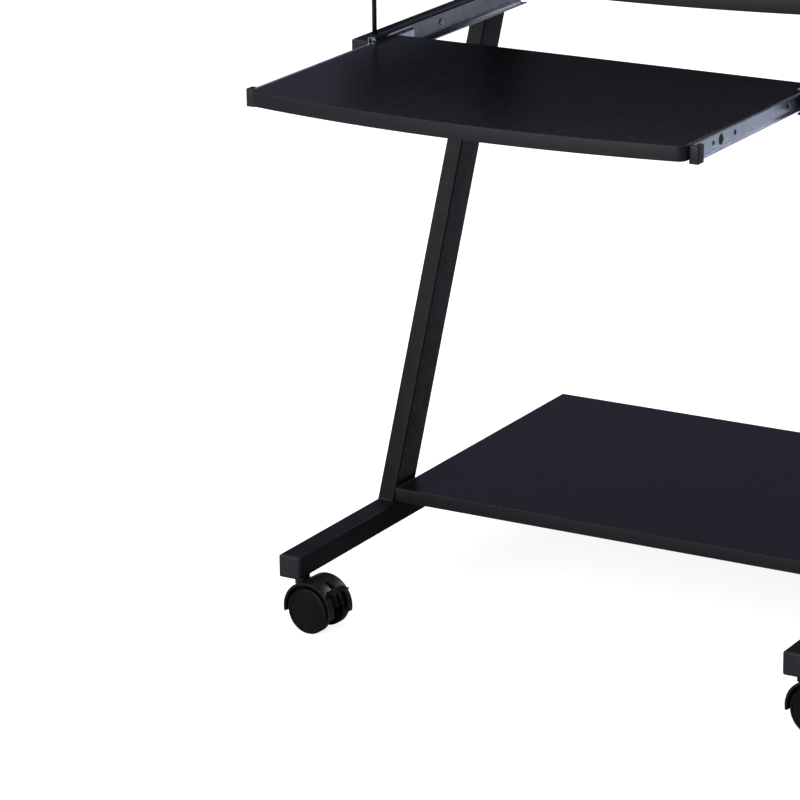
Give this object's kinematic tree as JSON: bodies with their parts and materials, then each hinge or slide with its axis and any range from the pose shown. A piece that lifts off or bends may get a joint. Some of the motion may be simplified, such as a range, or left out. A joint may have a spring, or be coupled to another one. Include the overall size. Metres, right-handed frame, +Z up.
{
  "type": "computer desk with keyboard tray",
  "caption": "Rolling computer desk: leaning steel side frames, bowed desktop, pull-out keyboard tray on ball slides, low shelf and swivel casters.",
  "frame": {"origin": "on the floor, under the middle of the desk's overall box with the keyboard tray pulled out", "axes": "+Z up, +X to the user's right, -Y towards the user"},
  "size_m": [0.6917, 0.7566, 0.714],
  "materials": {
    "frame_paint": "satin black powder coat",
    "rod_paint": "gloss black paint",
    "plug_plastic": "fine moulded texture",
    "board_laminate": "satin black laminate on particle board",
    "slide_zinc": "bright zinc plate",
    "bumper_plastic": "moulded",
    "ball_steel": "polished balls in a plated cage",
    "black_screw": "black oxide",
    "zinc_fastener": "zinc plate",
    "caster_steel": "plated",
    "caster_hood_plastic": "semi-gloss moulded nylon",
    "caster_wheel_nylon": "semi-gloss moulded nylon",
    "brake_plastic": "semi-gloss moulded nylon"
  },
  "bodies": {
    "frame": {"foot_left": "frame_paint", "foot_right": "frame_paint", "foot_end_plugs": "plug_plastic", "leg_left": "frame_paint", "leg_right": "frame_paint", "top_bar_left": "frame_paint", "top_bar_right": "frame_paint", "top_bar_plugs": "plug_plastic", "top_crossbar": "frame_paint", "shelf_crossbar_front": "frame_paint", "shelf_crossbar_rear": "frame_paint", "rail_left": "frame_paint", "rail_right": "frame_paint", "rail_plugs": "plug_plastic", "rail_brackets": "frame_paint", "hanger_rod_left": "rod_paint", "hanger_rod_right": "rod_paint", "hanger_nuts": "zinc_fastener", "hanger_screws": "zinc_fastener", "desktop": "board_laminate", "desktop_screws": "zinc_fastener", "bottom_shelf": "board_laminate", "shelf_screws": "zinc_fastener", "slide_outer_left": "slide_zinc", "slide_outer_right": "slide_zinc", "slide_screws": "zinc_fastener", "caster_stems": "caster_steel", "caster_nuts": "zinc_fastener"},
    "tray": {"keyboard_tray": "board_laminate", "slide_inner_left": "slide_zinc", "slide_inner_right": "slide_zinc", "slide_bumper_left": "bumper_plastic", "slide_bumper_right": "bumper_plastic", "tray_screws": "black_screw"},
    "ball_cage_left": {"ball_cage_left": "ball_steel"},
    "ball_cage_right": {"ball_cage_right": "ball_steel"},
    "front_left_fork": {"front_left_hood": "caster_hood_plastic", "front_left_axle": "caster_steel"},
    "front_left_wheel_a": {"front_left_wheel_a": "caster_wheel_nylon"},
    "front_left_wheel_b": {"front_left_wheel_b": "caster_wheel_nylon"},
    "front_left_brake": {"front_left_brake": "brake_plastic"},
    "front_right_fork": {"front_right_hood": "caster_hood_plastic", "front_right_axle": "caster_steel"},
    "front_right_wheel_a": {"front_right_wheel_a": "caster_wheel_nylon"},
    "front_right_wheel_b": {"front_right_wheel_b": "caster_wheel_nylon"},
    "front_right_brake": {"front_right_brake": "brake_plastic"},
    "rear_left_fork": {"rear_left_hood": "caster_hood_plastic", "rear_left_axle": "caster_steel"},
    "rear_left_wheel_a": {"rear_left_wheel_a": "caster_wheel_nylon"},
    "rear_left_wheel_b": {"rear_left_wheel_b": "caster_wheel_nylon"},
    "rear_right_fork": {"rear_right_hood": "caster_hood_plastic", "rear_right_axle": "caster_steel"},
    "rear_right_wheel_a": {"rear_right_wheel_a": "caster_wheel_nylon"},
    "rear_right_wheel_b": {"rear_right_wheel_b": "caster_wheel_nylon"}
  },
  "joints": [
    {"name": "tray_slide", "type": "slide", "parent": "frame", "child": "tray", "axis": [0, 1, 0], "range_m": [0, 0.2215]},
    {"name": "ball_cage_left_slide", "type": "slide", "parent": "frame", "child": "ball_cage_left", "axis": [0, 1, 0], "range_m": [0, 0.11075]},
    {"name": "ball_cage_right_slide", "type": "slide", "parent": "frame", "child": "ball_cage_right", "axis": [0, 1, 0], "range_m": [0, 0.11075]},
    {"name": "front_left_swivel", "type": "hinge", "parent": "frame", "child": "front_left_fork", "pos_m": [-0.2925, -0.18675, 0.06], "axis": [0, 0, 1], "continuous": true},
    {"name": "front_left_wheel_a_spin", "type": "hinge", "parent": "front_left_fork", "child": "front_left_wheel_a", "pos_m": [-0.27158, -0.18858, 0.025], "axis": [0.0872, 0.9962, 0], "continuous": true},
    {"name": "front_left_wheel_b_spin", "type": "hinge", "parent": "front_left_fork", "child": "front_left_wheel_b", "pos_m": [-0.27158, -0.18858, 0.025], "axis": [0.0872, 0.9962, 0], "continuous": true},
    {"name": "front_left_brake_press", "type": "hinge", "parent": "front_left_fork", "child": "front_left_brake", "pos_m": [-0.25514, -0.19002, 0.0385], "axis": [0.0872, 0.9962, 0], "range_deg": [0, 14]},
    {"name": "front_right_swivel", "type": "hinge", "parent": "frame", "child": "front_right_fork", "pos_m": [0.2925, -0.18675, 0.06], "axis": [0, 0, 1], "continuous": true},
    {"name": "front_right_wheel_a_spin", "type": "hinge", "parent": "front_right_fork", "child": "front_right_wheel_a", "pos_m": [0.3133, -0.18967, 0.025], "axis": [0.1392, 0.9903, 0], "continuous": true},
    {"name": "front_right_wheel_b_spin", "type": "hinge", "parent": "front_right_fork", "child": "front_right_wheel_b", "pos_m": [0.3133, -0.18967, 0.025], "axis": [0.1392, 0.9903, 0], "continuous": true},
    {"name": "front_right_brake_press", "type": "hinge", "parent": "front_right_fork", "child": "front_right_brake", "pos_m": [0.32964, -0.19197, 0.0385], "axis": [0.1392, 0.9903, 0], "range_deg": [0, 14]},
    {"name": "rear_left_swivel", "type": "hinge", "parent": "frame", "child": "rear_left_fork", "pos_m": [-0.2925, 0.32925, 0.06], "axis": [0, 0, 1], "continuous": true},
    {"name": "rear_left_wheel_a_spin", "type": "hinge", "parent": "rear_left_fork", "child": "rear_left_wheel_a", "pos_m": [-0.3133, 0.32633, 0.025], "axis": [0.1392, -0.9903, 0], "continuous": true},
    {"name": "rear_left_wheel_b_spin", "type": "hinge", "parent": "rear_left_fork", "child": "rear_left_wheel_b", "pos_m": [-0.3133, 0.32633, 0.025], "axis": [0.1392, -0.9903, 0], "continuous": true},
    {"name": "rear_right_swivel", "type": "hinge", "parent": "frame", "child": "rear_right_fork", "pos_m": [0.2925, 0.32925, 0.06], "axis": [0, 0, 1], "continuous": true},
    {"name": "rear_right_wheel_a_spin", "type": "hinge", "parent": "rear_right_fork", "child": "rear_right_wheel_a", "pos_m": [0.31269, 0.33504, 0.025], "axis": [-0.2756, 0.9613, 0], "continuous": true},
    {"name": "rear_right_wheel_b_spin", "type": "hinge", "parent": "rear_right_fork", "child": "rear_right_wheel_b", "pos_m": [0.31269, 0.33504, 0.025], "axis": [-0.2756, 0.9613, 0], "continuous": true}
  ],
  "couplings": [
    {"joint": "ball_cage_left_slide", "follows": "tray_slide", "ratio": 0.5},
    {"joint": "ball_cage_right_slide", "follows": "tray_slide", "ratio": 0.5}
  ]
}
